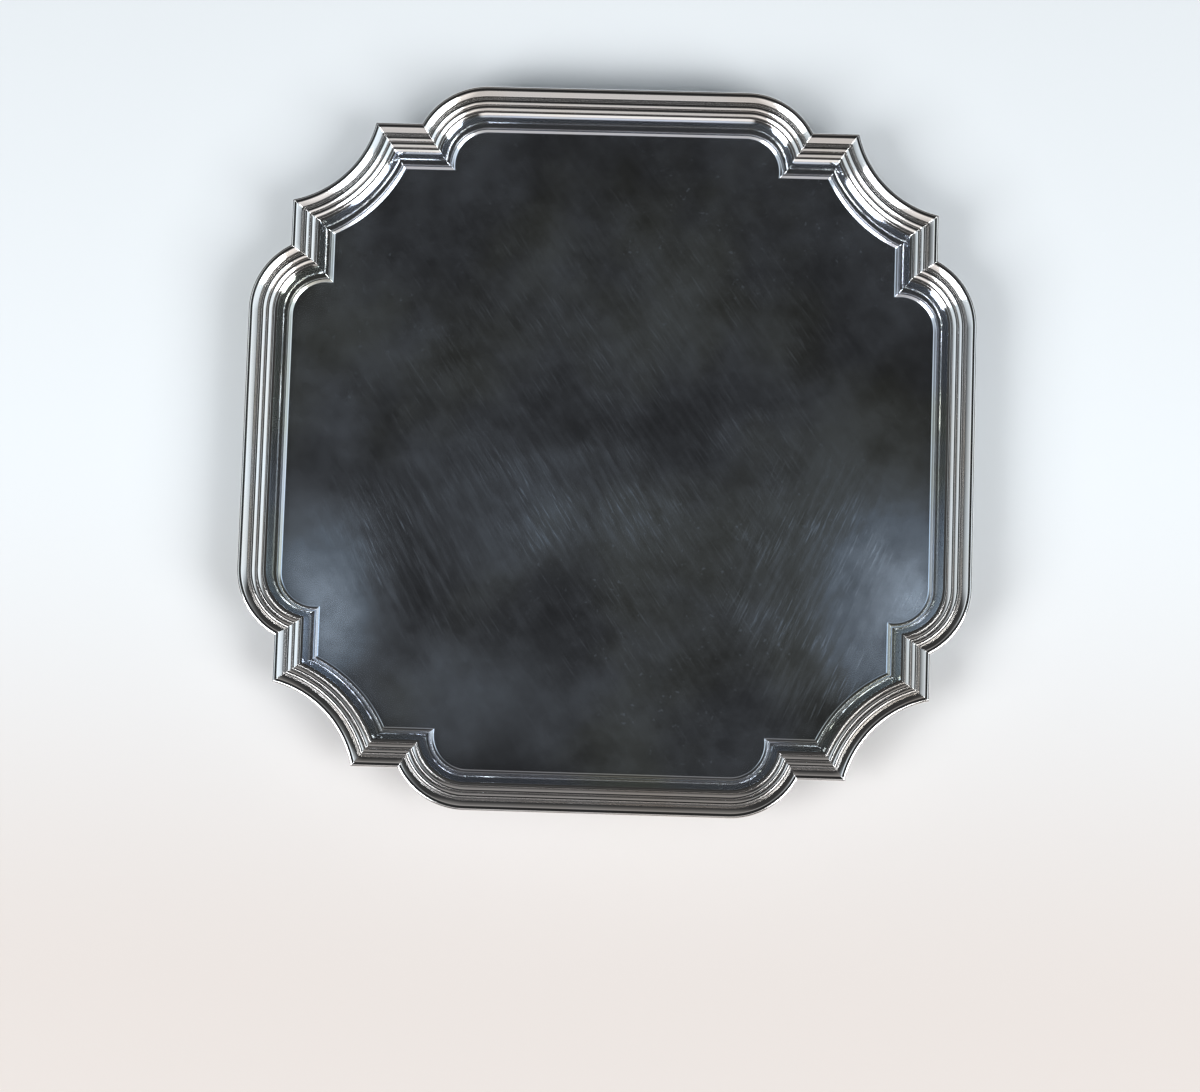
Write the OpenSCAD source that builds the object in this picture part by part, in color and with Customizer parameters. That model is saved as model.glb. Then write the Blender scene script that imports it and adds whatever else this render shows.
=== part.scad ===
// Square silver salver with a moulded border, stepped and scooped corners
// and four small pad feet.
// Row frame: X to the right, Y to the back, Z up, resting on Z = 0.
// Units are millimetres.

/* [Outline] */

// Overall width across two straight sides
overall_w = 305; // [200:1:400]
// How far each corner steps in from the straight side
step_in = 16.7; // [8:0.1:24]
// Distance from the centre line to the inner end of a step
step_start = 82.4; // [60:0.1:110]
// Distance from the centre line to the outer end of a step
step_end = 101.9; // [80:0.1:125]
// Radius of the rounded ends of each straight side
shoulder_r = 31.7; // [26:0.1:40]
// Radius of the hollow scoop cut across each corner
scoop_r = 44.4; // [30:0.1:60]

/* [Dish] */

// Thickness of the flat sheet
plate_t = 1.4; // [1:0.1:3]
// Height of the top of the border above the flat
rim_h = 11.6; // [9:0.1:16]
// Width in plan from the outer edge to the inside of the bead
border_w = 17.5; // [16:0.1:22]
// Radius of the hollow wall between the flat and the border
wall_r = 12.1; // [11:0.1:14]
// Height of the centre of that radius above the lip of the border
wall_rise = 1; // [0.5:0.1:2]
// Radius of the small bead where the wall meets the flat
bead_r = 1; // [0.4:0.05:1.2]
// Width of the ledge the border lengths are soldered to
ledge_w = 6.9; // [4:0.1:9]
// Thickness of that ledge
ledge_t = 1.3; // [0.8:0.1:2]

/* [Border moulding] */

// Radius of the bold outer roll
roll_r = 2.35; // [1.5:0.05:3]
// Radius of the middle reed
reed_r = 1.55; // [1:0.05:2]
// Radius of the inner reed
small_reed_r = 1.25; // [0.8:0.05:1.6]
// Drop from the top of the roll to the top of the middle reed
reed_drop = 1.1; // [0.5:0.05:2]
// Drop from the top of the roll to the top of the inner reed
small_reed_drop = 2.0; // [1:0.05:3]
// Height of a border length from the solder line to the top of the roll
casting_h = 3.4; // [3:0.1:4.6]
// Thickness of the web that joins the roll and the reeds
web_t = 0.4; // [0.2:0.05:1]
// How far the inner lip stands out over the hollow wall
lip_over = 0.6; // [0:0.1:0.9]
// Thickness of the web under the first groove
groove_web_t = 1.2; // [0.6:0.1:1.6]

/* [Feet] */

// Height of each foot
foot_h = 15; // [8:0.5:25]
// Distance of each foot from both centre lines
foot_pos = 80; // [50:1:95]
// Diameter of the solder plate at the top of a foot
foot_plate_d = 20; // [14:0.5:26]
// Thickness of that solder plate
foot_plate_t = 1.2; // [0.8:0.1:2]
// Diameter of the pad a foot stands on
foot_pad_d = 13; // [10:0.5:18]
// Height of the pad
foot_pad_h = 4; // [3:0.1:6]
// Diameter of the neck above the pad
foot_neck_d = 7; // [5:0.5:10]

/* [Hidden] */

$fn = 96;
half_w = overall_w / 2;
step_line = half_w - step_in;
flat_z = foot_h + plate_t;
top_z = flat_z + rim_h;
// centre of the shoulder arc, measured from the centre line
shoulder_run = sqrt(step_in * (2 * shoulder_r - step_in));
shoulder_x = round(100 * (step_start - shoulder_run)) / 100;
shoulder_y = half_w - shoulder_r;
// centre of the scoop arc on the corner diagonal
scoop_half = (step_line - step_end) / sqrt(2);
scoop_rise = sqrt(scoop_r * scoop_r - scoop_half * scoop_half);
scoop_mid = (step_line + step_end) / 2;
scoop_c = round(100 * (scoop_mid + scoop_rise / sqrt(2))) / 100;
// border section, u inwards from the outer edge
groove_gap = 0.05;
lip_w = 0.55;
wall_t = 1.5;
reed_u = 2 * roll_r + reed_r + groove_gap;
small_reed_u = reed_u + reed_r + small_reed_r;
casting_w = small_reed_u + small_reed_r + lip_w;
solder_z = top_z - casting_h;
lip_z = solder_z + web_t;
ledge_u = casting_w - ledge_w;
ledge_z = solder_z - ledge_t;
// hollow wall section
wall_u = round(100 * (casting_w + sqrt(wall_r * wall_r - wall_rise * wall_rise))) / 100;
wall_z = lip_z + wall_rise;
bead_u = border_w - bead_r;
bead_z = flat_z - 0.2 * bead_r;
back_r = wall_r + wall_t;
// reach of the filled sections past the middle of the salver
deep = 200;
cut_steps = 8;
cut_from = -1.5;
cut_to = casting_w + 1;
cut_size = (cut_to - cut_from) / cut_steps;

silver = [0.78, 0.78, 0.77];
silver_dark = [0.62, 0.62, 0.63];

// joint line between a rounded side end and a step, u inwards
function shoulder_cut(u) = [
  shoulder_x + sqrt(step_in * (2 * shoulder_r - step_in - 2 * u)),
  step_line - u
];

// joint line between a step and a corner scoop, u inwards
function scoop_cut(u) = [
  scoop_c - sqrt(pow(scoop_r + u, 2) - pow(scoop_c - step_line + u, 2)),
  step_line - u
];

function turned(p) = [p[1], p[0]];
function flipped(p) = [-p[0], p[1]];

// section of one border length, u along X and height along Y
module casting_section() {
  intersection() {
    union() {
      translate([roll_r, top_z - roll_r]) circle(r = roll_r);
      translate([reed_u, top_z - reed_drop - reed_r]) circle(r = reed_r);
      translate([small_reed_u, top_z - small_reed_drop - small_reed_r])
        circle(r = small_reed_r);
      translate([roll_r, solder_z]) square([casting_w + lip_over - roll_r, web_t]);
      translate([roll_r, solder_z]) square([reed_u - roll_r, groove_web_t]);
    }
    translate([-1, solder_z]) square([casting_w + 1, 10]);
  }
}

// everything inwards of the underside of the sheet
module sheet_outer_section() {
  translate([ledge_u, ledge_z]) square([deep, ledge_t]);
  intersection() {
    union() {
      translate([wall_u, wall_z]) circle(r = back_r);
      translate([wall_u, foot_h]) square([deep, 2 * back_r]);
    }
    translate([0, foot_h]) square([2 * deep, ledge_z - foot_h]);
  }
}

// everything inwards of the upper face of the sheet
module hollow_section() {
  difference() {
    translate([casting_w, flat_z]) square([deep, top_z + 2 - flat_z]);
    difference() {
      translate([casting_w - 1, flat_z - 1])
        square([wall_u - casting_w + 1, wall_z - flat_z + 1]);
      translate([wall_u, wall_z]) circle(r = wall_r);
    }
    translate([bead_u, bead_z]) circle(r = bead_r);
  }
}

// both sides of a section set at a distance from the centre line
module paired(reach, which) {
  for (side = [0, 1])
    mirror([side, 0])
      intersection() {
        translate([-reach, 0]) filled_section(which);
        translate([-2 * deep, -10]) square([2 * deep, 100]);
      }
}

module filled_section(which) {
  if (which == "outer") sheet_outer_section();
  if (which == "hollow") hollow_section();
}

// section drawn for turning, x measured from the arc centre
module turned_section(r, which) {
  intersection() {
    translate([r, 0]) mirror([1, 0]) filled_section(which);
    translate([0, -10]) square([r + 10, 100]);
  }
}

module along_x(length) {
  rotate([90, 0, 90]) translate([0, 0, -length / 2])
    linear_extrude(height = length) children();
}

module along_y(length) {
  rotate([90, 0, 0]) translate([0, 0, -length / 2])
    linear_extrude(height = length) children();
}

// the bar with rounded ends that makes two opposite sides
module rounded_bar(which) {
  along_x(2 * shoulder_x) paired(half_w, which);
  along_y(2 * shoulder_y) paired(shoulder_x + shoulder_r, which);
  for (sx = [0, 1], sy = [0, 1])
    mirror([sx, 0, 0]) mirror([0, sy, 0])
      translate([shoulder_x, shoulder_y, 0])
        rotate_extrude(angle = 90) turned_section(shoulder_r, which);
}

// the square between the steps
module step_square(which) {
  intersection() {
    along_x(2 * deep) paired(step_line, which);
    along_y(2 * deep) paired(step_line, which);
  }
}

// the solid that stands in each scooped corner, outside the dish
module scoop_core(which) {
  for (k = [0 : 3])
    rotate([0, 0, 90 * k]) translate([scoop_c, scoop_c, 0])
      rotate_extrude() scoop_core_section(which);
}

module scoop_core_section(which) {
  difference() {
    translate([0, -5]) square([scoop_r + wall_u + 2, top_z + 10]);
    translate([scoop_r, 0]) filled_section(which);
    if (which == "hollow")
      translate([scoop_r + border_w, -5]) square([deep, foot_h + plate_t + 5]);
  }
}

// full dish shape for one face of the sheet
module dish(which) {
  difference() {
    union() {
      step_square(which);
      rounded_bar(which);
      rotate([0, 0, 90]) rounded_bar(which);
    }
    scoop_core(which);
  }
}

module tray() {
  color(silver)
    difference() {
      dish("outer");
      dish("hollow");
    }
}

// upright prism with the given plan, tall enough for any border length
module column(points) {
  translate([0, 0, solder_z - 1])
    linear_extrude(height = 6) polygon(points);
}

module border_side() {
  right_cut = [for (i = [0 : cut_steps]) shoulder_cut(cut_from + i * cut_size)];
  left_cut = [for (i = [0 : cut_steps]) flipped(right_cut[cut_steps - i])];
  top = [
    [-step_start - 10, half_w + 5],
    [step_start + 10, half_w + 5],
    [step_start + 10, step_line - cut_from]
  ];
  bottom = [[-step_start - 10, step_line - cut_from]];
  color(silver)
    intersection() {
      union() {
        along_x(2 * shoulder_x)
          translate([half_w, 0]) mirror([1, 0]) casting_section();
        for (side = [0, 1])
          mirror([side, 0, 0]) translate([shoulder_x, shoulder_y, 0]) {
            rotate_extrude(angle = 90)
              translate([shoulder_r, 0]) mirror([1, 0]) casting_section();
            mirror([0, 1, 0]) rotate_extrude(angle = 25)
              translate([shoulder_r, 0]) mirror([1, 0]) casting_section();
          }
      }
      column(concat(top, right_cut, left_cut, bottom));
    }
}

module border_step() {
  inner = [for (i = [0 : cut_steps]) shoulder_cut(cut_from + i * cut_size)];
  outer = [for (i = [0 : cut_steps])
    scoop_cut(cut_from + (cut_steps - i) * cut_size)];
  color(silver)
    intersection() {
      along_x(2 * half_w)
        translate([step_line, 0]) mirror([1, 0]) casting_section();
      column(concat(inner, outer));
    }
}

module corner_scoop() {
  near = [for (i = [0 : cut_steps]) scoop_cut(cut_from + i * cut_size)];
  far = [for (i = [0 : cut_steps]) turned(near[cut_steps - i])];
  color(silver)
    intersection() {
      translate([scoop_c, scoop_c, 0]) rotate([0, 0, 180])
        rotate_extrude(angle = 90) translate([scoop_r, 0]) casting_section();
      column(concat(near, far, [[half_w, half_w]]));
    }
}

// cast pad foot standing on Z = 0
module foot() {
  neck_top = foot_h - foot_plate_t;
  neck_h = neck_top - foot_pad_h;
  hollow_r = neck_h / 2;
  pad_round = foot_pad_h / 2;
  color(silver_dark)
    rotate_extrude()
      union() {
        translate([0, neck_top]) square([foot_plate_d / 2, foot_plate_t]);
        difference() {
          translate([0, foot_pad_h]) square([foot_neck_d / 2 + 2, neck_h]);
          translate([foot_neck_d / 2 + hollow_r, foot_pad_h + hollow_r])
            circle(r = hollow_r);
        }
        square([foot_pad_d / 2 - pad_round, foot_pad_h]);
        translate([foot_pad_d / 2 - pad_round, pad_round])
          circle(r = pad_round);
      }
}

module border_side_back() { border_side(); }
module border_side_front() { rotate([0, 0, 180]) border_side(); }
module border_side_left() { rotate([0, 0, 90]) border_side(); }
module border_side_right() { rotate([0, 0, -90]) border_side(); }

module border_step_back_right() { border_step(); }
module border_step_back_left() { mirror([1, 0, 0]) border_step(); }
module border_step_front_right() { mirror([0, 1, 0]) border_step(); }
module border_step_front_left() { rotate([0, 0, 180]) border_step(); }
module border_step_left_back() { rotate([0, 0, 90]) border_step(); }
module border_step_left_front() {
  rotate([0, 0, 90]) mirror([1, 0, 0]) border_step();
}
module border_step_right_front() { rotate([0, 0, -90]) border_step(); }
module border_step_right_back() {
  rotate([0, 0, -90]) mirror([1, 0, 0]) border_step();
}

module corner_scoop_back_right() { corner_scoop(); }
module corner_scoop_back_left() { rotate([0, 0, 90]) corner_scoop(); }
module corner_scoop_front_left() { rotate([0, 0, 180]) corner_scoop(); }
module corner_scoop_front_right() { rotate([0, 0, -90]) corner_scoop(); }

module foot_back_left() { translate([-foot_pos, foot_pos, 0]) foot(); }
module foot_back_right() { translate([foot_pos, foot_pos, 0]) foot(); }
module foot_front_left() { translate([-foot_pos, -foot_pos, 0]) foot(); }
module foot_front_right() { translate([foot_pos, -foot_pos, 0]) foot(); }

tray();
border_side_back();
border_side_front();
border_side_left();
border_side_right();
border_step_back_left();
border_step_back_right();
border_step_front_left();
border_step_front_right();
border_step_left_back();
border_step_left_front();
border_step_right_back();
border_step_right_front();
corner_scoop_back_left();
corner_scoop_back_right();
corner_scoop_front_left();
corner_scoop_front_right();
foot_back_left();
foot_back_right();
foot_front_left();
foot_front_right();
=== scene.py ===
"""Square silver salver with a moulded border, drawn in metres in the shared row frame."""

import logging
import math
from dataclasses import dataclass
from enum import Enum

import bpy
import numpy as np
from mathutils import Matrix, Vector


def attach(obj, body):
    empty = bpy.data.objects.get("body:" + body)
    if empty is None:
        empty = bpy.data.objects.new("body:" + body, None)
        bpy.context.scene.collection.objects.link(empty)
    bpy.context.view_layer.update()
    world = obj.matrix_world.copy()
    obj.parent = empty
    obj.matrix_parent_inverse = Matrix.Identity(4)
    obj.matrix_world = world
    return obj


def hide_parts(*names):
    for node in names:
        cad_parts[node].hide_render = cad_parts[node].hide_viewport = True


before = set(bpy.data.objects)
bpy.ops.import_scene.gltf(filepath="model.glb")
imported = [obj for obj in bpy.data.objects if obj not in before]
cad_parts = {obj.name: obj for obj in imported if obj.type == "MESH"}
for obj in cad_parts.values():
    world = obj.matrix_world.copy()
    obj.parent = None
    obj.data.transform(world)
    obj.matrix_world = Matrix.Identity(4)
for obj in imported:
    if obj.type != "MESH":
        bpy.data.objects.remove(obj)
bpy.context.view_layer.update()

log = logging.getLogger("salver")

MM = 0.001
ARC_STEP = 9.0  # degrees turned from one point of a rounded corner to the next
EDGE_SHARE = 0.49  # most of an edge that the rounding of one end may use
UV_SCALE = 0.01  # UV units in a millimetre of surface

Section = list[tuple[float, float, float]]
Colour = tuple[float, float, float]
Tint = tuple[float, float, float, float]


# --------------------------------------------------------------------------
# Outline
# --------------------------------------------------------------------------


class Length(Enum):
    """The four border lengths that follow each other clockwise in a quarter."""

    SIDE = 0
    STEP_ON = 1
    SCOOP = 2
    STEP_OFF = 3


@dataclass(frozen=True)
class Outline:
    """Plan of the salver and every line that runs parallel to its edge.

    A line at distance u inwards keeps the straights straight, the shoulders
    and scoops round about the same centres, and the corners sharp.

    Attributes:
        half_w: half the width over all, in millimetres.
        step_in: how far the steps lie in from the sides.
        step_start, step_end: where a step starts and ends along its side.
        shoulder_r, scoop_r: radii at the outer edge.
        soften: how far from a corner its softening starts.
        side_length, scoop_length, step_length: rough lengths, which turn
            soften into a share of each length.
        arc_count, straight_count, step_count, scoop_count, corner_count:
            points along each kind of run.
    """

    half_w: float = 152.5
    step_in: float = 16.7
    step_start: float = 82.4
    step_end: float = 101.9
    shoulder_r: float = 31.7
    scoop_r: float = 44.4
    soften: float = 0.35
    side_length: float = 100.0
    scoop_length: float = 51.0
    step_length: float = 19.5
    arc_count: int = 26
    straight_count: int = 28
    step_count: int = 9
    scoop_count: int = 34
    corner_count: int = 5

    @property
    def step_line(self) -> float:
        """Distance of the steps from the centre line."""
        return self.half_w - self.step_in

    @property
    def shoulder_x(self) -> float:
        """Distance of the shoulder's centre from the middle of its side."""
        run = math.sqrt(self.step_in * (2 * self.shoulder_r - self.step_in))
        return round(self.step_start - run, 2)

    @property
    def shoulder_y(self) -> float:
        """Distance of the shoulder's centre from the other centre line."""
        return self.half_w - self.shoulder_r

    @property
    def scoop_c(self) -> float:
        """Both coordinates of the scoop's centre."""
        half = (self.step_line - self.step_end) / math.sqrt(2)
        rise = math.sqrt(self.scoop_r**2 - half**2)
        return round((self.step_line + self.step_end) / 2 + rise / math.sqrt(2), 2)

    def _inner_end(self, u: np.ndarray) -> np.ndarray:
        """Corner between a shoulder and a step, for each distance u."""
        reach = self.step_in * (2 * self.shoulder_r - self.step_in - 2 * u)
        return np.stack([self.shoulder_x + np.sqrt(reach), self.step_line - u], -1)

    def _outer_end(self, u: np.ndarray) -> np.ndarray:
        """Corner between a step and a scoop, for each distance u."""
        drop = self.scoop_c - self.step_line + u
        reach = np.sqrt((self.scoop_r + u) ** 2 - drop**2)
        return np.stack([self.scoop_c - reach, self.step_line - u], -1)

    def _side(self, t: np.ndarray, u: np.ndarray) -> np.ndarray:
        """Shoulder arc, straight, shoulder arc: a third of t each."""
        end = self._inner_end(u)
        low = np.arctan2(end[:, 1] - self.shoulder_y, end[:, 0] - self.shoulder_x)
        r = self.shoulder_r - u
        away = np.clip(3 * np.abs(t - 0.5) * 2 - 1, 0, 2)[:, None] / 2
        angle = math.pi / 2 + (low - math.pi / 2) * away
        middle = np.clip(6 * (t - 0.5), -1, 1)[:, None] * self.shoulder_x
        x = middle + np.sign(t - 0.5)[:, None] * r * np.cos(angle)
        y = self.shoulder_y + r * np.sin(angle)
        return np.stack([x, y], -1)

    def _step(self, t: np.ndarray, u: np.ndarray) -> np.ndarray:
        """Straight run from the shoulder's end to the scoop's end."""
        a, b = self._inner_end(u), self._outer_end(u)
        return a + (b - a) * t[:, None, None]

    def _scoop(self, t: np.ndarray, u: np.ndarray) -> np.ndarray:
        """Hollow arc about a centre outside the corner."""
        low = np.arcsin((self.scoop_c - self.step_line + u) / (self.scoop_r + u))
        angle = math.pi + low + (math.pi / 2 - 2 * low) * t[:, None]
        r = self.scoop_r + u
        x = self.scoop_c + r * np.cos(angle)
        y = self.scoop_c + r * np.sin(angle)
        return np.stack([x, y], -1)

    def _points(self, kind: Length, t: np.ndarray, u: np.ndarray) -> np.ndarray:
        """Points of one length of the back right quarter.

        Args:
            kind: which border length.
            t: positions along it, from 0 to 1 clockwise.
            u: distances inwards from the outer edge, in millimetres.

        Returns:
            Array of shape (len(t), len(u), 2) in millimetres.
        """
        if kind is Length.SIDE:
            return self._side(t, u)
        if kind is Length.STEP_ON:
            return self._step(t, u)
        if kind is Length.SCOOP:
            return self._scoop(t, u)
        return self._step(1 - t, u)[..., ::-1]

    def _stations(self, kind: Length) -> np.ndarray:
        """Positions along a length, stopping just short of both corners."""
        if kind is Length.SIDE:
            gap = self.soften / self.side_length
            third = np.linspace(gap, 1 / 3, self.arc_count)
            middle = np.linspace(1 / 3, 2 / 3, self.straight_count)
            return np.concatenate([third, middle[1:-1], 1 - third[::-1]])
        if kind is Length.SCOOP:
            gap = self.soften / self.scoop_length
            return np.linspace(gap, 1 - gap, self.scoop_count)
        gap = self.soften / self.step_length
        return np.linspace(gap, 1 - gap, self.step_count)

    def ring(self, u: np.ndarray) -> tuple[np.ndarray, list[int]]:
        """Closed family of parallel lines round the whole salver.

        Each corner is a short quadratic curve between the last point of one
        length and the first of the next, with the true corner as its handle.

        Args:
            u: distances inwards from the outer edge, in millimetres.

        Returns:
            Points of shape (stations, len(u), 2), and the station at which
            each of the sixteen lengths ends.
        """
        u = np.asarray(u, float)
        runs, corners = [], []
        for quarter in range(4):
            for kind in Length:
                spin = _quarter_turn(quarter)
                runs.append(self._points(kind, self._stations(kind), u) @ spin)
                corners.append(self._points(kind, np.array([1.0]), u)[0] @ spin)
        spaces = self.corner_count + 1
        mix = np.arange(1, spaces)[:, None, None] / spaces
        parts, ends, count = [], [], 0
        for i, run in enumerate(runs):
            after = runs[(i + 1) % len(runs)][0]
            bend = (
                (1 - mix) ** 2 * run[-1]
                + 2 * mix * (1 - mix) * corners[i]
                + mix**2 * after
            )
            parts += [run, bend]
            count += len(run) + len(bend)
            ends.append(count - spaces // 2)
        return np.concatenate(parts), ends


def _quarter_turn(count: int) -> np.ndarray:
    """Matrix that turns row vectors clockwise by a number of quarter turns."""
    turn = np.array([[0.0, -1.0], [1.0, 0.0]])
    return np.linalg.matrix_power(turn, count)


# --------------------------------------------------------------------------
# Sections
# --------------------------------------------------------------------------


def rounded(corners: Section, closed: bool) -> np.ndarray:
    """Polygon whose corners are replaced by tangent arcs.

    Args:
        corners: (u, z, radius) for each corner, in millimetres.
        closed: whether the last corner joins the first.

    Returns:
        Array of (u, z) points.
    """
    pts = np.array([c[:2] for c in corners])
    out = []
    for i, (_, _, r) in enumerate(corners):
        at = pts[i]
        end = not closed and i in (0, len(corners) - 1)
        if r <= 0 or end:
            out.append(at[None])
            continue
        to_last, to_next = pts[i - 1] - at, pts[(i + 1) % len(pts)] - at
        l1, l2 = np.linalg.norm(to_last), np.linalg.norm(to_next)
        d1, d2 = to_last / l1, to_next / l2
        half = 0.5 * math.acos(float(np.clip(d1 @ d2, -1, 1)))
        reach = min(r / math.tan(half), EDGE_SHARE * l1, EDGE_SHARE * l2)
        radius = reach * math.tan(half)
        middle = at + (d1 + d2) / np.linalg.norm(d1 + d2) * radius / math.sin(half)
        start, stop = at + d1 * reach - middle, at + d2 * reach - middle
        a0 = math.atan2(start[1], start[0])
        turn = math.atan2(
            start[0] * stop[1] - start[1] * stop[0], float(start @ stop)
        )
        steps = max(4, int(abs(turn) / math.radians(ARC_STEP)))
        a = a0 + np.linspace(0, turn, steps + 1)
        out.append(middle + radius * np.stack([np.cos(a), np.sin(a)], -1))
    return np.concatenate(out)


def arc(
    cu: float, cz: float, r: float, start: float, stop: float, count: int
) -> np.ndarray:
    """Points of a circular arc in the section plane.

    Args:
        cu, cz: centre in millimetres.
        r: radius in millimetres.
        start, stop: angles in degrees from the inward direction, towards up.
        count: number of points.

    Returns:
        Array of (u, z) points.
    """
    a = np.radians(np.linspace(start, stop, count))
    return np.stack([cu + r * np.cos(a), cz + r * np.sin(a)], -1)


@dataclass(frozen=True)
class Levels:
    """Heights and sizes shared by the parts, in millimetres.

    Attributes:
        foot_h: height of the underside of the flat above the table.
        plate_t, wall_t: thickness of the flat and of the wall.
        rim_h: height of the border above the flat.
        border_w: distance from the outer edge to the foot of the bead.
        wall_r: radius of the hollow wall.
        wall_rise, wall_u: its centre, up from the solder face and inwards.
        casting_w, casting_h: width and height of the cast border.
        ledge_u, ledge_t: outer edge and thickness of the ledge under it.
        bead_h: height of the bead above the flat.
    """

    foot_h: float = 15.0
    plate_t: float = 1.4
    rim_h: float = 11.6
    border_w: float = 17.5
    wall_t: float = 1.5
    wall_r: float = 12.1
    wall_rise: float = 1.4
    wall_u: float = 22.96
    casting_w: float = 10.9
    casting_h: float = 3.4
    ledge_u: float = 4.0
    ledge_t: float = 1.3
    bead_h: float = 0.6

    @property
    def flat(self) -> float:
        """Height of the flat."""
        return self.foot_h + self.plate_t

    @property
    def top(self) -> float:
        """Height of the top of the border."""
        return self.flat + self.rim_h

    @property
    def solder(self) -> float:
        """Height of the face the border lengths are soldered to."""
        return self.top - self.casting_h


@dataclass(frozen=True)
class BorderSection:
    """Section of the cast border: a bold roll, two flat reeds and a lip."""

    levels: Levels = Levels()

    def points(self) -> np.ndarray:
        """Closed loop of (u, z) points, going up the outside first."""
        base, top, wide = self.levels.solder, self.levels.top, self.levels.casting_w
        return rounded(
            [
                (0.7, base, 0.05),
                (0.0, base + 0.45, 0.5),
                (0.0, top, 1.5),
                (1.95, top, 1.6),
                (4.2, top - 1.1, 0.7),
                (4.75, top - 2.05, 0.2),
                (5.45, top - 2.1, 0.12),
                (5.65, top - 1.0, 0.15),
                (6.5, top - 1.05, 2.0),
                (7.6, top - 1.55, 0.45),
                (7.75, top - 2.25, 0.1),
                (8.0, top - 1.95, 0.3),
                (8.8, top - 2.0, 2.0),
                (10.05, top - 2.55, 0.5),
                (10.15, top - 2.95, 0.08),
                (10.35, top - 2.55, 0.1),
                (10.9, top - 2.55, 0.25),
                (wide + 1.0, top - 3.2, 0.12),
                (wide + 1.0, base, 0.08),
            ],
            closed=True,
        )

    def grooves(self) -> Section:
        """Hollows that hold tarnish, as (u, z, reach)."""
        top = self.levels.top
        return [
            (5.2, top - 2.0, 0.55),
            (7.8, top - 2.1, 0.35),
            (10.15, top - 2.9, 0.3),
        ]


@dataclass(frozen=True)
class TraySection:
    """Section of the sheet from the middle of the flat out and back."""

    levels: Levels = Levels()
    start_u: float = 20.0

    def _wall(self, r: float, low: float, high: float, count: int) -> np.ndarray:
        """Arc about the wall's centre from one height up to another."""
        lv = self.levels
        centre = lv.solder + lv.wall_rise
        start = 180 + math.degrees(math.asin((centre - low) / r))
        stop = 180 + math.degrees(math.asin((centre - high) / r))
        return arc(lv.wall_u, centre, r, start, stop, count)

    def upper(self) -> np.ndarray:
        """From the flat over the bead and up the wall to the ledge."""
        lv = self.levels
        crest = lv.flat + lv.bead_h
        bead = rounded(
            [
                (self.start_u, lv.flat, 0.0),
                (lv.border_w - 0.2, lv.flat, 1.2),
                (lv.border_w - 1.3, crest, 0.7),
                (lv.border_w - 1.6, crest, 0.25),
                (lv.border_w - 1.9, lv.flat + 0.03, 0.0),
            ],
            closed=False,
        )
        wall = self._wall(lv.wall_r, lv.flat + 0.06, lv.solder - 0.05, 30)
        return np.concatenate([bead, wall])

    def lower(self) -> np.ndarray:
        """From the ledge back down the outside of the wall to the base."""
        lv = self.levels
        ledge_z = lv.solder - lv.ledge_t
        back = self._wall(lv.wall_r + lv.wall_t, ledge_z + 0.02, lv.foot_h + 0.1, 26)
        ledge = rounded(
            [
                (lv.casting_w + 0.04, lv.solder, 0.0),
                (lv.ledge_u, lv.solder, 0.12),
                (lv.ledge_u, ledge_z, 0.2),
                (back[0, 0] - 0.1, ledge_z, 0.0),
            ],
            closed=False,
        )
        foot = [(back[-1, 0] + 0.15, lv.foot_h), (back[-1, 0] + 0.3, lv.foot_h)]
        return np.concatenate([ledge, back, foot, [(self.start_u, lv.foot_h)]])

    def grooves(self) -> Section:
        """Hollows that hold tarnish, as (u, z, reach)."""
        flat = self.levels.flat
        return [(15.6, flat + 0.1, 0.45)]


# --------------------------------------------------------------------------
# Surfaces
# --------------------------------------------------------------------------


def waviness(xy: np.ndarray) -> np.ndarray:
    """Slight unevenness left by hand raising, from 0 down to -0.09 mm.

    It is a sum of four long plane waves over the plan, so neighbouring
    pieces that share a point share its height.

    Args:
        xy: plan positions in millimetres, last axis of length 2.

    Returns:
        Height change in millimetres.
    """
    waves = np.array(
        [
            (0.061, 0.033, 0.4, 0.016),
            (-0.028, 0.074, 1.9, 0.014),
            (0.118, -0.052, 3.1, 0.008),
            (0.043, 0.141, 5.0, 0.006),
        ]
    )
    phase = xy @ waves[:, :2].T + waves[:, 2]
    return (np.sin(phase) * waves[:, 3]).sum(-1) - waves[:, 3].sum()


def tarnish_of(section: np.ndarray, grooves: Section) -> np.ndarray:
    """How deep in a groove each point of a section sits, 0 to 1.

    It is the greatest of exp(-(d / reach)^2) over the grooves, where d is
    the distance from the groove's own point.
    """
    share = np.zeros(len(section))
    for u, z, reach in grooves:
        far = np.hypot(section[:, 0] - u, section[:, 1] - z)
        share = np.maximum(share, np.exp(-((far / reach) ** 2)))
    return share


def grid_quads(n: int, m: int, wrap_path: bool, wrap_section: bool) -> np.ndarray:
    """Point numbers of the quads of an n by m grid, joined round as asked."""
    i = np.arange(n if wrap_path else n - 1)[:, None]
    j = np.arange(m if wrap_section else m - 1)[None, :]
    i2, j2 = (i + 1) % n, (j + 1) % m
    quads = np.stack([i * m + j, i2 * m + j, i2 * m + j2, i * m + j2], -1)
    return quads.reshape(-1, 4)


def end_fans(n: int, m: int) -> np.ndarray:
    """Triangles from two added hub points to the first and last columns."""
    rims = np.stack([np.arange(n) * m, np.arange(n) * m + m - 1])
    hub = n * m + np.arange(2)[:, None] + np.zeros((1, n), int)
    fans = np.stack([rims, hub, np.roll(rims, -1, 1)], -1)
    fans[0] = fans[0, :, ::-1]
    return fans.reshape(-1, 3)[:, ::-1]


def faces_outwards(points: np.ndarray, quads: np.ndarray) -> bool:
    """Whether the quads' normals mostly point away from the middle."""
    a, b, c, d = (points[quads[:, k]] for k in range(4))
    centre = (a + b + c + d) / 4 - points.mean(0)
    return float((centre * np.cross(c - a, d - b)).sum()) > 0


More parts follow.
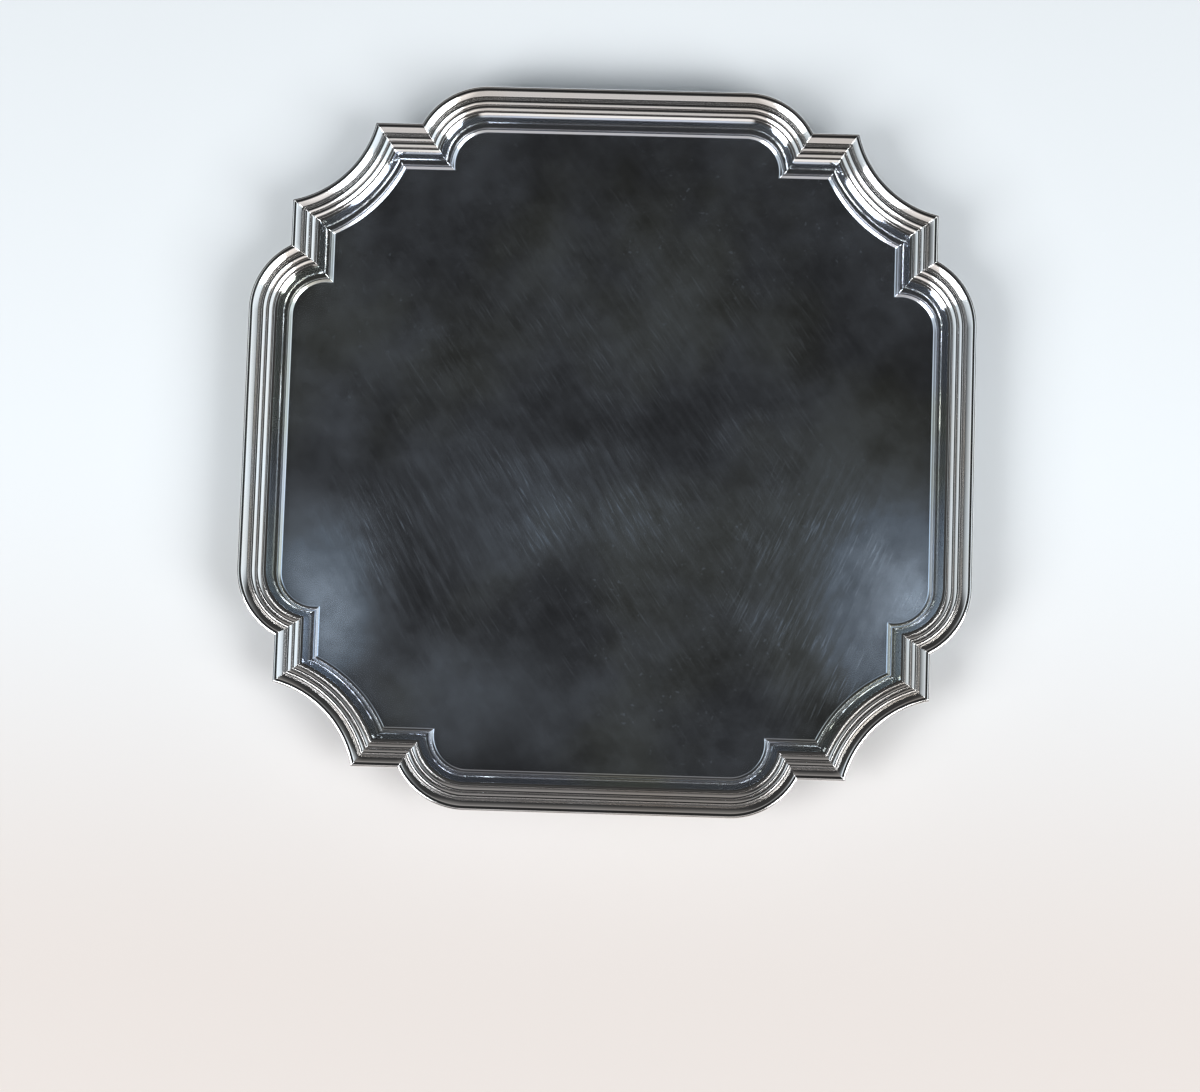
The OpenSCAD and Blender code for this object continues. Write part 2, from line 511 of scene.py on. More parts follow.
def write_mesh(
    name: str, points: np.ndarray, loops: np.ndarray, sizes: np.ndarray, flat: int
) -> bpy.types.Mesh:
    """Mesh from arrays.

    Args:
        name: mesh name.
        points: (k, 3) positions in millimetres.
        loops: point numbers of every face, one face after another.
        sizes: number of points in each face.
        flat: how many of the last faces are flat shaded.

    Returns:
        The new mesh, otherwise smooth shaded.
    """
    mesh = bpy.data.meshes.new(name)
    mesh.vertices.add(len(points))
    mesh.vertices.foreach_set("co", (points * MM).astype(np.float32).ravel())
    mesh.loops.add(len(loops))
    mesh.loops.foreach_set("vertex_index", loops.astype(np.int32))
    mesh.polygons.add(len(sizes))
    starts = np.concatenate([[0], np.cumsum(sizes)[:-1]])
    mesh.polygons.foreach_set("loop_start", starts.astype(np.int32))
    smooth = np.arange(len(sizes)) < len(sizes) - flat
    mesh.polygons.foreach_set("use_smooth", smooth)
    mesh.update(calc_edges=True)
    return mesh


def grid_object(
    name: str,
    points: np.ndarray,
    across: np.ndarray,
    wrap_path: bool,
    tarnish: np.ndarray,
) -> bpy.types.Object:
    """Closed mesh over a grid of points.

    A grid that goes right round has an open section, whose two ends are
    closed by fans about a hub. A grid with two ends has a closed section,
    and each end is closed by one flat face.

    Args:
        name: object name.
        points: (n, m, 3) positions in millimetres.
        across: (m,) distance along the section, for the second UV axis.
        wrap_path: join the last station to the first.
        tarnish: (m,) share of tarnish, stored as the attribute "tarnish".

    Returns:
        The linked object, with normals outwards.
    """
    n, m, _ = points.shape
    quads = grid_quads(n, m, wrap_path, not wrap_path)
    verts = points.reshape(-1, 3)
    outward = faces_outwards(verts, quads)
    shares = np.tile(tarnish, n)
    fans = np.zeros((0, 3), int)
    caps = []
    if wrap_path:
        fans = end_fans(n, m)
        verts = np.concatenate([verts, points[:, [0, -1]].mean(0)])
        shares = np.concatenate([shares, tarnish[[0, -1]]])
    else:
        caps = [np.arange(m)[::-1], np.arange(m) + (n - 1) * m]
    if not outward:
        quads, fans = quads[:, ::-1], fans[:, ::-1]
        caps = [cap[::-1] for cap in caps]
    loops = np.concatenate([quads.ravel(), fans.ravel(), *caps])
    sizes = np.concatenate(
        [np.full(len(quads), 4), np.full(len(fans), 3), [len(c) for c in caps]]
    ).astype(int)
    mesh = write_mesh(name, verts, loops, sizes, len(caps))
    along = np.linalg.norm(np.diff(points, axis=0), axis=-1).mean(1)
    along = np.concatenate([[0], np.cumsum(along)])
    uv = np.stack(np.broadcast_arrays(along[:, None], across[None, :]), -1)
    uv = uv.reshape(-1, 2)
    if wrap_path:
        uv = np.concatenate([uv, uv[[0, m - 1]]])
    layer = mesh.uv_layers.new(name="Swept")
    layer.data.foreach_set("uv", (uv[loops] * UV_SCALE).astype(np.float32).ravel())
    held = mesh.attributes.new("tarnish", "FLOAT", "POINT")
    held.data.foreach_set("value", shares.astype(np.float32))
    mesh.validate()
    obj = bpy.data.objects.new(name, mesh)
    bpy.context.scene.collection.objects.link(obj)
    return obj


def run_length(section: np.ndarray) -> np.ndarray:
    """Distance along a section up to each of its points."""
    steps = np.linalg.norm(np.diff(section, axis=0), axis=1)
    return np.concatenate([[0], np.cumsum(steps)])


# --------------------------------------------------------------------------
# Silver
# --------------------------------------------------------------------------


TARNISH = (0.16, 0.13, 0.11, 1.0)
FILM_ROUGHNESS = 0.42
FILM_IOR = 1.9
FILM_EDGE = (0.01641, 0.01658)  # heights over which the film ends at the bead
BUMP_STRENGTH = 0.1
BUMP_DEPTH = 0.00002


class NodeTree:
    """Short-hand for adding and joining shader nodes."""

    def __init__(self, name: str) -> None:
        self.material = bpy.data.materials.new(name)
        self.material.use_nodes = True
        self.tree = self.material.node_tree
        self.shader = self.tree.nodes["Principled BSDF"]

    def add(self, kind: str, **settings: object) -> bpy.types.Node:
        """New node of the given kind with its properties set."""
        node = self.tree.nodes.new("ShaderNode" + kind)
        for key, value in settings.items():
            setattr(node, key, value)
        return node

    def put(self, target: bpy.types.NodeSocket, value: object) -> None:
        """Link a socket, or set it when value is a number or colour."""
        if isinstance(value, bpy.types.NodeSocket):
            self.tree.links.new(value, target)
        else:
            target.default_value = value

    def math(
        self, operation: str, *values: object, clamp: bool = False
    ) -> bpy.types.NodeSocket:
        """Result of a Math node."""
        node = self.add("Math", operation=operation, use_clamp=clamp)
        for socket, value in zip(node.inputs, values):
            self.put(socket, value)
        return node.outputs[0]

    def ramp(self, value: object, low: float, high: float) -> bpy.types.NodeSocket:
        """Smooth step from 0 at low to 1 at high."""
        node = self.add("MapRange", interpolation_type="SMOOTHSTEP")
        self.put(node.inputs["Value"], value)
        node.inputs["From Min"].default_value = low
        node.inputs["From Max"].default_value = high
        return node.outputs["Result"]

    def mix(
        self, share: object, first: object, second: object
    ) -> bpy.types.NodeSocket:
        """Colour between two colours."""
        node = self.add("Mix", data_type="RGBA")
        self.put(node.inputs[0], share)
        self.put(node.inputs[6], first)
        self.put(node.inputs[7], second)
        return node.outputs[2]

    def place(
        self, source: object, scale: tuple[float, float, float], turn: float
    ) -> bpy.types.NodeSocket:
        """Coordinates turned about Z, then scaled."""
        turned = self.add("Mapping", vector_type="POINT")
        turned.inputs["Rotation"].default_value = (0.0, 0.0, turn)
        self.put(turned.inputs["Vector"], source)
        node = self.add("Mapping", vector_type="POINT")
        node.inputs["Scale"].default_value = scale
        self.put(node.inputs["Vector"], turned.outputs[0])
        return node.outputs[0]

    def spot(
        self,
        where: object,
        centre: tuple[float, float],
        spread: tuple[float, float],
        core: float,
    ) -> bpy.types.NodeSocket:
        """Soft oval in plan: 1 inside the core share, 0 beyond the spread."""
        moved = self.add("Mapping", vector_type="POINT")
        moved.inputs["Location"].default_value = (
            -centre[0] / spread[0],
            -centre[1] / spread[1],
            0.0,
        )
        moved.inputs["Scale"].default_value = (1 / spread[0], 1 / spread[1], 0.0)
        self.put(moved.inputs["Vector"], where)
        length = self.add("VectorMath", operation="LENGTH")
        self.put(length.inputs[0], moved.outputs[0])
        return self.math("SUBTRACT", 1.0, self.ramp(length.outputs["Value"], core, 1.0))

    def noise(
        self, where: object, scale: float, detail: float, rough: float = 0.5
    ) -> bpy.types.NodeSocket:
        """Fractal noise value."""
        node = self.add("TexNoise")
        self.put(node.inputs["Vector"], where)
        node.inputs["Scale"].default_value = scale
        node.inputs["Detail"].default_value = detail
        node.inputs["Roughness"].default_value = rough
        return node.outputs[0]


@dataclass(frozen=True)
class ScratchSet:
    """A patch of hairline scratches that all lean the same way.

    Attributes:
        centre: middle of the patch in plan, in metres.
        spread: half width and half height of the patch, in metres.
        lean: direction of the scratches from +X, in degrees.
        share: how strongly they show, 0 to 1.
        fineness: scratches per metre across their direction.
    """

    centre: tuple[float, float]
    spread: tuple[float, float]
    lean: float
    share: float
    fineness: float


@dataclass(frozen=True)
class BloomAndSheen:
    """A soft patch where the polish has gone dull, whose film also paints a bluish sheen
    of reflected light into the colour.

    Attributes:
        centre: middle of the patch in plan, in metres.
        spread: half width and half height, in metres.
        share: strength at the middle.
    """

    centre: tuple[float, float]
    spread: tuple[float, float]
    share: float


@dataclass(frozen=True)
class SilverFinish:
    """Polished silver with wear, built from procedural nodes.

    Attributes:
        name: material name.
        colour: clean metal colour.
        warm: colour of the parts with a trace of tarnish.
        polish: roughness of the clean mirror.
        haze: extra roughness where polishing has worn the surface.
        slot: the record's material slot, not used.
        scratches: patches of hairline scratches.
        blooms_and_sheen: dull patches, whose film also paints a bluish sheen.
        dust: share of fine specks.
        coat: strength of the thin clouded film over the metal.
        film: share of the clouded film that scatters light, letting its painted bluish
            sheen show.
        bloom_and_sheen: bluish colour of the clouded film, a painted sheen standing in
            for the tint of reflected light.
    """

    name: str
    colour: Tint
    warm: Tint
    polish: float
    haze: float
    slot: str
    scratches: tuple[ScratchSet, ...] = ()
    blooms_and_sheen: tuple[BloomAndSheen, ...] = ()
    dust: float = 0.0
    coat: float = 0.0
    film: float = 0.0
    # Painted sheen: bluish tint mixed in where the film lies, standing in for reflected
    # light.
    bloom_and_sheen: Tint = (0.60, 0.74, 0.92, 1.0)

    def build(self) -> bpy.types.Material:
        """Make the material."""
        nt = NodeTree(self.name)
        at = nt.add("TexCoord").outputs["Object"]
        held = nt.add("Attribute", attribute_name="tarnish").outputs["Fac"]
        rough, mist_and_sheen, relief = self._wear(nt, at, held)
        colour = self._metal(nt, at, held)
        nt.shader.inputs["Metallic"].default_value = 1.0
        if self.coat:
            colour = self._cloud(nt, at, mist_and_sheen, colour)
        nt.put(nt.shader.inputs["Base Color"], colour)
        nt.put(nt.shader.inputs["Roughness"], rough)
        bump = nt.add("Bump")
        bump.inputs["Strength"].default_value = BUMP_STRENGTH
        bump.inputs["Distance"].default_value = BUMP_DEPTH
        nt.put(bump.inputs["Height"], relief)
        nt.put(nt.shader.inputs["Normal"], bump.outputs[0])
        return nt.material

    def _metal(self, nt: NodeTree, at: object, held: object) -> bpy.types.NodeSocket:
        """Colour of the metal, with darker tarnish in the grooves."""
        tint = nt.ramp(nt.noise(at, 14.0, 3.0), 0.42, 0.66)
        clean = nt.mix(tint, self.colour, self.warm)
        return nt.mix(nt.math("MULTIPLY", held, 0.75), clean, TARNISH)

    def _wear(
        self, nt: NodeTree, at: object, held: object
    ) -> tuple[bpy.types.NodeSocket, bpy.types.NodeSocket, bpy.types.NodeSocket]:
        """Roughness, mist and relief from polishing, blooms, lines and dust.

        Mist is the amount of clouded film, and also where the film's bluish painted sheen
        is mixed into the colour. Only a coated finish shows it.
        """
        worn = nt.ramp(nt.noise(at, 17.0, 6.0, 0.66), 0.32, 0.72)
        rough = nt.math("MULTIPLY_ADD", worn, self.haze, self.polish)
        rough = nt.math("MULTIPLY_ADD", held, 0.2, rough)
        mist_and_sheen = nt.math("MULTIPLY", worn, 0.22)
        relief = nt.math("MULTIPLY", nt.noise(at, 150.0, 3.0, 0.6), 0.02)
        mottle = nt.math("MULTIPLY_ADD", nt.noise(at, 60.0, 4.0, 0.6), 1.6, 0.2)
        # Each bloom adds real dull roughness and a film whose colour paints a bluish
        # sheen.
        for bloom_and_sheen in self.blooms_and_sheen:
            spot = nt.spot(at, bloom_and_sheen.centre, bloom_and_sheen.spread, 0.0)
            spot = nt.math("MULTIPLY", spot, mottle)
            rough = nt.math("MULTIPLY_ADD", spot, bloom_and_sheen.share * 0.5, rough)
            mist_and_sheen = nt.math("MULTIPLY_ADD", spot, bloom_and_sheen.share * 9.0, mist_and_sheen)
        for scratches in self.scratches:
            lines, streaks = self._scratch(nt, at, scratches)
            rough = nt.math("MULTIPLY_ADD", lines, 0.07, rough)
            mist_and_sheen = nt.math("MULTIPLY_ADD", lines, 0.75, mist_and_sheen)
            mist_and_sheen = nt.math("MULTIPLY_ADD", streaks, 0.22, mist_and_sheen)
            relief = nt.math("SUBTRACT", relief, nt.math("MULTIPLY", lines, 0.2))
        if self.dust:
            specks = nt.ramp(nt.noise(at, 520.0, 1.0), 0.70, 0.78)
            where = nt.ramp(nt.noise(at, 9.0, 2.0), 0.45, 0.6)
            specks = nt.math("MULTIPLY", nt.math("MULTIPLY", specks, where), self.dust)
            mist_and_sheen = nt.math("MULTIPLY_ADD", specks, 4.0, mist_and_sheen)
        return rough, mist_and_sheen, relief

    def _cloud(
        self, nt: NodeTree, at: object, mist_and_sheen: object, metal: object
    ) -> bpy.types.NodeSocket:
        """Clouded film on the flat, as far out as the foot of the bead.

        The film is a rough coat plus a small share that scatters light. Its bluish colour
        is a painted sheen, standing in for the tint of reflected light.

        Returns:
            The metal's colour with the film's painted bluish sheen over it.
        """
        axes = nt.add("SeparateXYZ")
        nt.put(axes.inputs[0], at)
        level = nt.math("SUBTRACT", 1.0, nt.ramp(axes.outputs["Z"], *FILM_EDGE))
        mist_and_sheen = nt.math("MULTIPLY", mist_and_sheen, level)
        weight = nt.math("MULTIPLY", mist_and_sheen, self.coat, clamp=True)
        nt.put(nt.shader.inputs["Coat Weight"], weight)
        nt.shader.inputs["Coat Roughness"].default_value = FILM_ROUGHNESS
        nt.shader.inputs["Coat IOR"].default_value = FILM_IOR
        film = nt.math("MULTIPLY", mist_and_sheen, self.film)
        bare = nt.math("SUBTRACT", 1.0, film, clamp=True)
        nt.put(nt.shader.inputs["Metallic"], bare)
        # Painted sheen: the film's bluish colour goes over the metal wherever blooms,
        # scratches, streaks and dust leave film.
        share = nt.math("MULTIPLY", mist_and_sheen, 1.6, clamp=True)
        return nt.mix(share, metal, self.bloom_and_sheen)

    def _scratch(
        self, nt: NodeTree, at: object, patch: ScratchSet
    ) -> tuple[bpy.types.NodeSocket, bpy.types.NodeSocket]:
        """Hairlines and soft streaks: noise stretched along their direction."""
        lean = -math.radians(patch.lean)
        inside = nt.spot(at, patch.centre, patch.spread, 0.3)
        inside = nt.math("MULTIPLY", inside, patch.share)
        broken = nt.ramp(nt.noise(at, 45.0, 2.0), 0.36, 0.62)
        thin = nt.place(at, (70.0, patch.fineness, 1.0), lean)
        lines = nt.ramp(nt.noise(thin, 1.0, 2.0, 0.6), 0.54, 0.74)
        lines = nt.math("MULTIPLY", lines, nt.math("MULTIPLY", inside, broken))
        wide = nt.place(at, (40.0, patch.fineness * 0.28, 1.0), lean)
        streaks = nt.ramp(nt.noise(wide, 1.0, 2.0), 0.40, 0.72)
        return lines, nt.math("MULTIPLY", streaks, inside)


FLAT_SCRATCHES = (
    ScratchSet((-0.018, -0.02), (0.07, 0.04), -58.0, 0.7, 1100.0),
    ScratchSet((-0.085, -0.045), (0.05, 0.045), -62.0, 0.7, 1300.0),
    ScratchSet((0.095, -0.06), (0.055, 0.08), 66.0, 0.8, 1300.0),
    ScratchSet((0.0, 0.0), (0.17, 0.17), -55.0, 0.25, 1500.0),
)

# Dull patches on the flat. The larger pairs at the lower left and lower right also paint
# a bluish glow of reflected light through the film colour.
FLAT_BLOOMS_AND_SHEEN = (
    BloomAndSheen((-0.120, -0.070), (0.045, 0.060), 0.09),
    BloomAndSheen((-0.114, -0.078), (0.022, 0.03), 0.05),
    BloomAndSheen((0.125, -0.06), (0.05, 0.07), 0.11),
    BloomAndSheen((0.130, -0.066), (0.02, 0.03), 0.09),
    BloomAndSheen((-0.04, -0.025), (0.08, 0.05), 0.02),
    BloomAndSheen((-0.05, -0.105), (0.06, 0.035), 0.03),
)

FLAT_SILVER = SilverFinish(
    "SilverFlat",
    colour=(0.80, 0.84, 0.92, 1.0),
    warm=(0.78, 0.80, 0.72, 1.0),
    polish=0.08,
    haze=0.04,
    slot="silver_flat",
    scratches=FLAT_SCRATCHES,
    blooms_and_sheen=FLAT_BLOOMS_AND_SHEEN,
    dust=0.06,
    coat=0.35,
    film=0.10,
)

BORDER_SILVER = SilverFinish(
    "SilverBorder",
    colour=(0.93, 0.935, 0.94, 1.0),
    warm=(0.91, 0.88, 0.84, 1.0),
    polish=0.07,
    haze=0.02,
    slot="silver_border",
)

FOOT_SILVER = SilverFinish(
    "SilverFeet",
    colour=(0.84, 0.84, 0.84, 1.0),
    warm=(0.74, 0.69, 0.60, 1.0),
    polish=0.12,
    haze=0.10,
    slot="silver_feet",
)


# --------------------------------------------------------------------------
# Sub-assemblies
# --------------------------------------------------------------------------


def finish_piece(
    obj: bpy.types.Object, material: bpy.types.Material, node: str
) -> None:
    """Give a piece its material and its body, and hide the CAD part it replaces."""
    obj.data.materials.append(material)
    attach(obj, "root")
    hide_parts(node)
    log.info("%s: %d faces", obj.name, len(obj.data.polygons))


@dataclass
class Tray:
    """The flat, the bead, the wall and the ledge, in one sheet.

    Attributes:
        outline: the plan.
        section: the sheet's section.
        finish: its silver.
        top_rings, base_rings: rings between the middle and the section.
        hub: size of the smallest ring, as a share of the largest.
    """

    outline: Outline
    section: TraySection
    finish: SilverFinish
    top_rings: int = 36
    base_rings: int = 16
    hub: float = 0.01

    def build(self) -> bpy.types.Object:
        """One grid from the middle of the flat out, over and back beneath.

        Columns near the middle are the innermost parallel line shrunk
        towards the centre. The others are parallel lines at the section's
        own distances, each at the section's height plus the waviness.
        """
        shape = np.concatenate([self.section.upper(), self.section.lower()])
        swept, _ = self.outline.ring(shape[:, 0])
        first, last = swept[:, 0], swept[:, -1]
        grow = np.linspace(self.hub, 1, self.top_rings, endpoint=False)
        fall = np.linspace(1, self.hub, self.base_rings + 1)[1:]
        top = first[:, None] * grow[None, :, None]
        base = last[:, None] * fall[None, :, None]
        plan = np.concatenate([top, swept, base], 1)
        inner = np.full(len(grow), shape[0, 1])
        under = np.full(len(fall), shape[-1, 1])
        height = np.concatenate([inner, shape[:, 1], under])
        z = height[None, :] + waviness(plan) * self._freedom(height)
        points = np.concatenate([plan, z[..., None]], -1)
        reach = np.linalg.norm(first, axis=1).mean()
        before = grow * reach
        over = reach + run_length(shape)
        beyond = over[-1] + (1 - fall) * reach
        across = np.concatenate([before, over, beyond])
        marks = tarnish_of(shape, self.section.grooves())
        marks = np.concatenate([np.zeros(len(grow)), marks, np.zeros(len(fall))])
        obj = grid_object("Tray", points, across, True, marks)
        finish_piece(obj, self.finish.build(), "tray")
        return obj

    def _freedom(self, height: np.ndarray) -> np.ndarray:
        """No waviness on the base, so the feet sit flush."""
        low = self.section.levels.foot_h
        return np.clip((height - low) / 1.0, 0, 1)


@dataclass
class Border:
    """The sixteen cast lengths soldered round the ledge."""

    outline: Outline
    section: BorderSection
    finish: SilverFinish
    names: tuple[str, ...] = (
        "border_side_back", "border_step_back_right",
        "corner_scoop_back_right", "border_step_right_back",
        "border_side_right", "border_step_right_front",
        "corner_scoop_front_right", "border_step_front_right",
        "border_side_front", "border_step_front_left",
        "corner_scoop_front_left", "border_step_left_front",
        "border_side_left", "border_step_left_back",
        "corner_scoop_back_left", "border_step_back_left",
    )  # fmt: skip

    def build(self) -> list[bpy.types.Object]:
        """Cut the swept ring at its corners into closed lengths."""
        shape = self.section.points()
        plan, ends = self.outline.ring(shape[:, 0])
        z = shape[:, 1][None, :] + waviness(plan)
        points = np.concatenate([plan, z[..., None]], -1)
        marks = tarnish_of(shape, self.section.grooves())
        across = run_length(shape)
        material = self.finish.build()
        count = len(points)
        made = []
        for k, node in enumerate(self.names):
            start = ends[k - 1] - (count if k == 0 else 0)
            picked = np.arange(start, ends[k] + 1) % count
            name = "".join(word.title() for word in node.split("_"))
            obj = grid_object(name, points[picked], across, False, marks)
            finish_piece(obj, material, node)
            made.append(obj)
        return made


@dataclass
class Feet:
    """Four turned pad feet under the flat."""

    levels: Levels
    finish: SilverFinish
    position: float = 80.0
    plate_r: float = 10.0
    neck_r: float = 3.5
    pad_r: float = 6.5
    sides: int = 72

    def profile(self) -> np.ndarray:
        """(radius, height) from the middle of the pad to the solder plate."""
        top = self.levels.foot_h
        corners = [
            (0.35, 0.0, 0.0),
            (4.4, 0.0, 0.4),
            (self.pad_r, 0.35, 1.2),
            (self.pad_r, 3.3, 1.4),
            (4.7, 4.05, 0.3),
            (4.7, 4.7, 0.25),
            (self.neck_r + 0.1, 5.4, 1.4),
            (self.neck_r, 9.6, 2.4),
            (5.0, 12.2, 2.0),
            (5.6, 12.9, 0.3),
            (9.3, 13.75, 0.5),
            (self.plate_r, 14.1, 0.3),
            (self.plate_r, top, 0.0),
            (0.35, top, 0.0),
        ]
        return rounded(corners, closed=False)

    def build(self) -> list[bpy.types.Object]:
        """Turn the profile about an upright axis at each corner."""
        shape = self.profile()
        angle = np.linspace(0, 2 * math.pi, self.sides, endpoint=False)
        ring = np.stack([np.cos(angle), -np.sin(angle)], -1)
        marks = tarnish_of(shape, [(4.7, 4.3, 0.6), (5.6, 12.7, 0.8)])
        material = self.finish.build()
        made = []
        for name, sx, sy in (
            ("back_left", -1, 1), ("back_right", 1, 1),
            ("front_left", -1, -1), ("front_right", 1, -1),
        ):  # fmt: skip
            plan = ring[:, None] * shape[None, :, :1]
            plan = plan + self.position * np.array([sx, sy])
            z = np.broadcast_to(shape[None, :, 1], plan.shape[:2])
            points = np.concatenate([plan, z[..., None]], -1)
            title = "Foot" + "".join(word.title() for word in name.split("_"))
            obj = grid_object(title, points, run_length(shape), True, marks)
            finish_piece(obj, material, "foot_" + name)
            made.append(obj)
        return made


# --------------------------------------------------------------------------
# Studio
# --------------------------------------------------------------------------


def towards(azimuth: float, elevation: float) -> Vector:
    """Unit vector from an azimuth from +X and a height angle, in degrees."""
    az, el = math.radians(azimuth), math.radians(elevation)
    flat = math.cos(el)
    return Vector((math.cos(az) * flat, math.sin(az) * flat, math.sin(el)))


@dataclass(frozen=True)
class Softbox:
    """A rectangular soft light aimed at the salver.

    Attributes:
        name: light name.
        azimuth: direction in plan from +X, in degrees.
        elevation: height above the table, in degrees.
        size: width and height in metres.
        power: watts.
        colour: light colour.
        distance: metres from the salver.
    """

    name: str
    azimuth: float
    elevation: float
    size: tuple[float, float]
    power: float
    colour: Colour
    distance: float = 1.8

    def build(self) -> bpy.types.Object:
        """Place the light and turn it to the salver."""
        lamp = bpy.data.lights.new(self.name, "AREA")
        lamp.shape = "RECTANGLE"
        lamp.size, lamp.size_y = self.size
        lamp.energy = self.power
        lamp.color = self.colour
        out = towards(self.azimuth, self.elevation)
        obj = bpy.data.objects.new(self.name, lamp)
        obj.location = out * self.distance
        obj.rotation_euler = out.to_track_quat("Z", "Y").to_euler()
        obj.visible_camera = False
        bpy.context.scene.collection.objects.link(obj)
        return obj


@dataclass(frozen=True)
class Glow:
    """A soft round patch of light in the surroundings.

    Attributes:
        azimuth: direction in plan from +X, in degrees.
        elevation: height above the table, in degrees.
        core: half angle of the full-strength middle, in degrees.
        reach: half angle at which it has faded out, in degrees.
        strength: radiance at the middle.
        colour: tint.
    """

    azimuth: float
    elevation: float
    core: float
    reach: float
    strength: float
    colour: Colour = (1.0, 1.0, 1.0)


@dataclass(frozen=True)
class View:
    """A long lens, nearly square on to the flat and turned slightly.

    Attributes:
        lens: focal length in millimetres.
        clip: nearest and farthest distance it sees, in metres.
        tilt, lean, roll: its turns about X, Y and Z, in radians.
        offset: where the middle of the flat lies from it, in its own axes,
            in half widths of the salver.
        half_w: half the width of the salver, in metres.
        flat_z: height of the flat, in metres.
    """

    lens: float = 101.29
    clip: tuple[float, float] = (0.05, 20.0)
    tilt: float = -0.116104
    lean: float = -0.030512
    roll: float = -0.031834
    offset: tuple[float, float, float] = (0.022038, 0.260803, -9.286361)
    half_w: float = 0.1525
    flat_z: float = 0.0164

    def build(self) -> bpy.types.Object:
        """Place the camera and make it the scene's own."""
        lens = bpy.data.cameras.new("Camera")
        lens.lens = self.lens
        lens.clip_start, lens.clip_end = self.clip
        turned = (
            Matrix.Rotation(self.roll, 3, "Z")
            @ Matrix.Rotation(self.tilt, 3, "X")
            @ Matrix.Rotation(self.lean, 3, "Y")
        )
        obj = bpy.data.objects.new("Camera", lens)
        back = turned.transposed()
        place = -(back @ (Vector(self.offset) * self.half_w))
        place += Vector((0, 0, self.flat_z))
        obj.matrix_world = Matrix.Translation(place) @ back.to_4x4()
        bpy.context.scene.collection.objects.link(obj)
        bpy.context.scene.camera = obj
        return obj


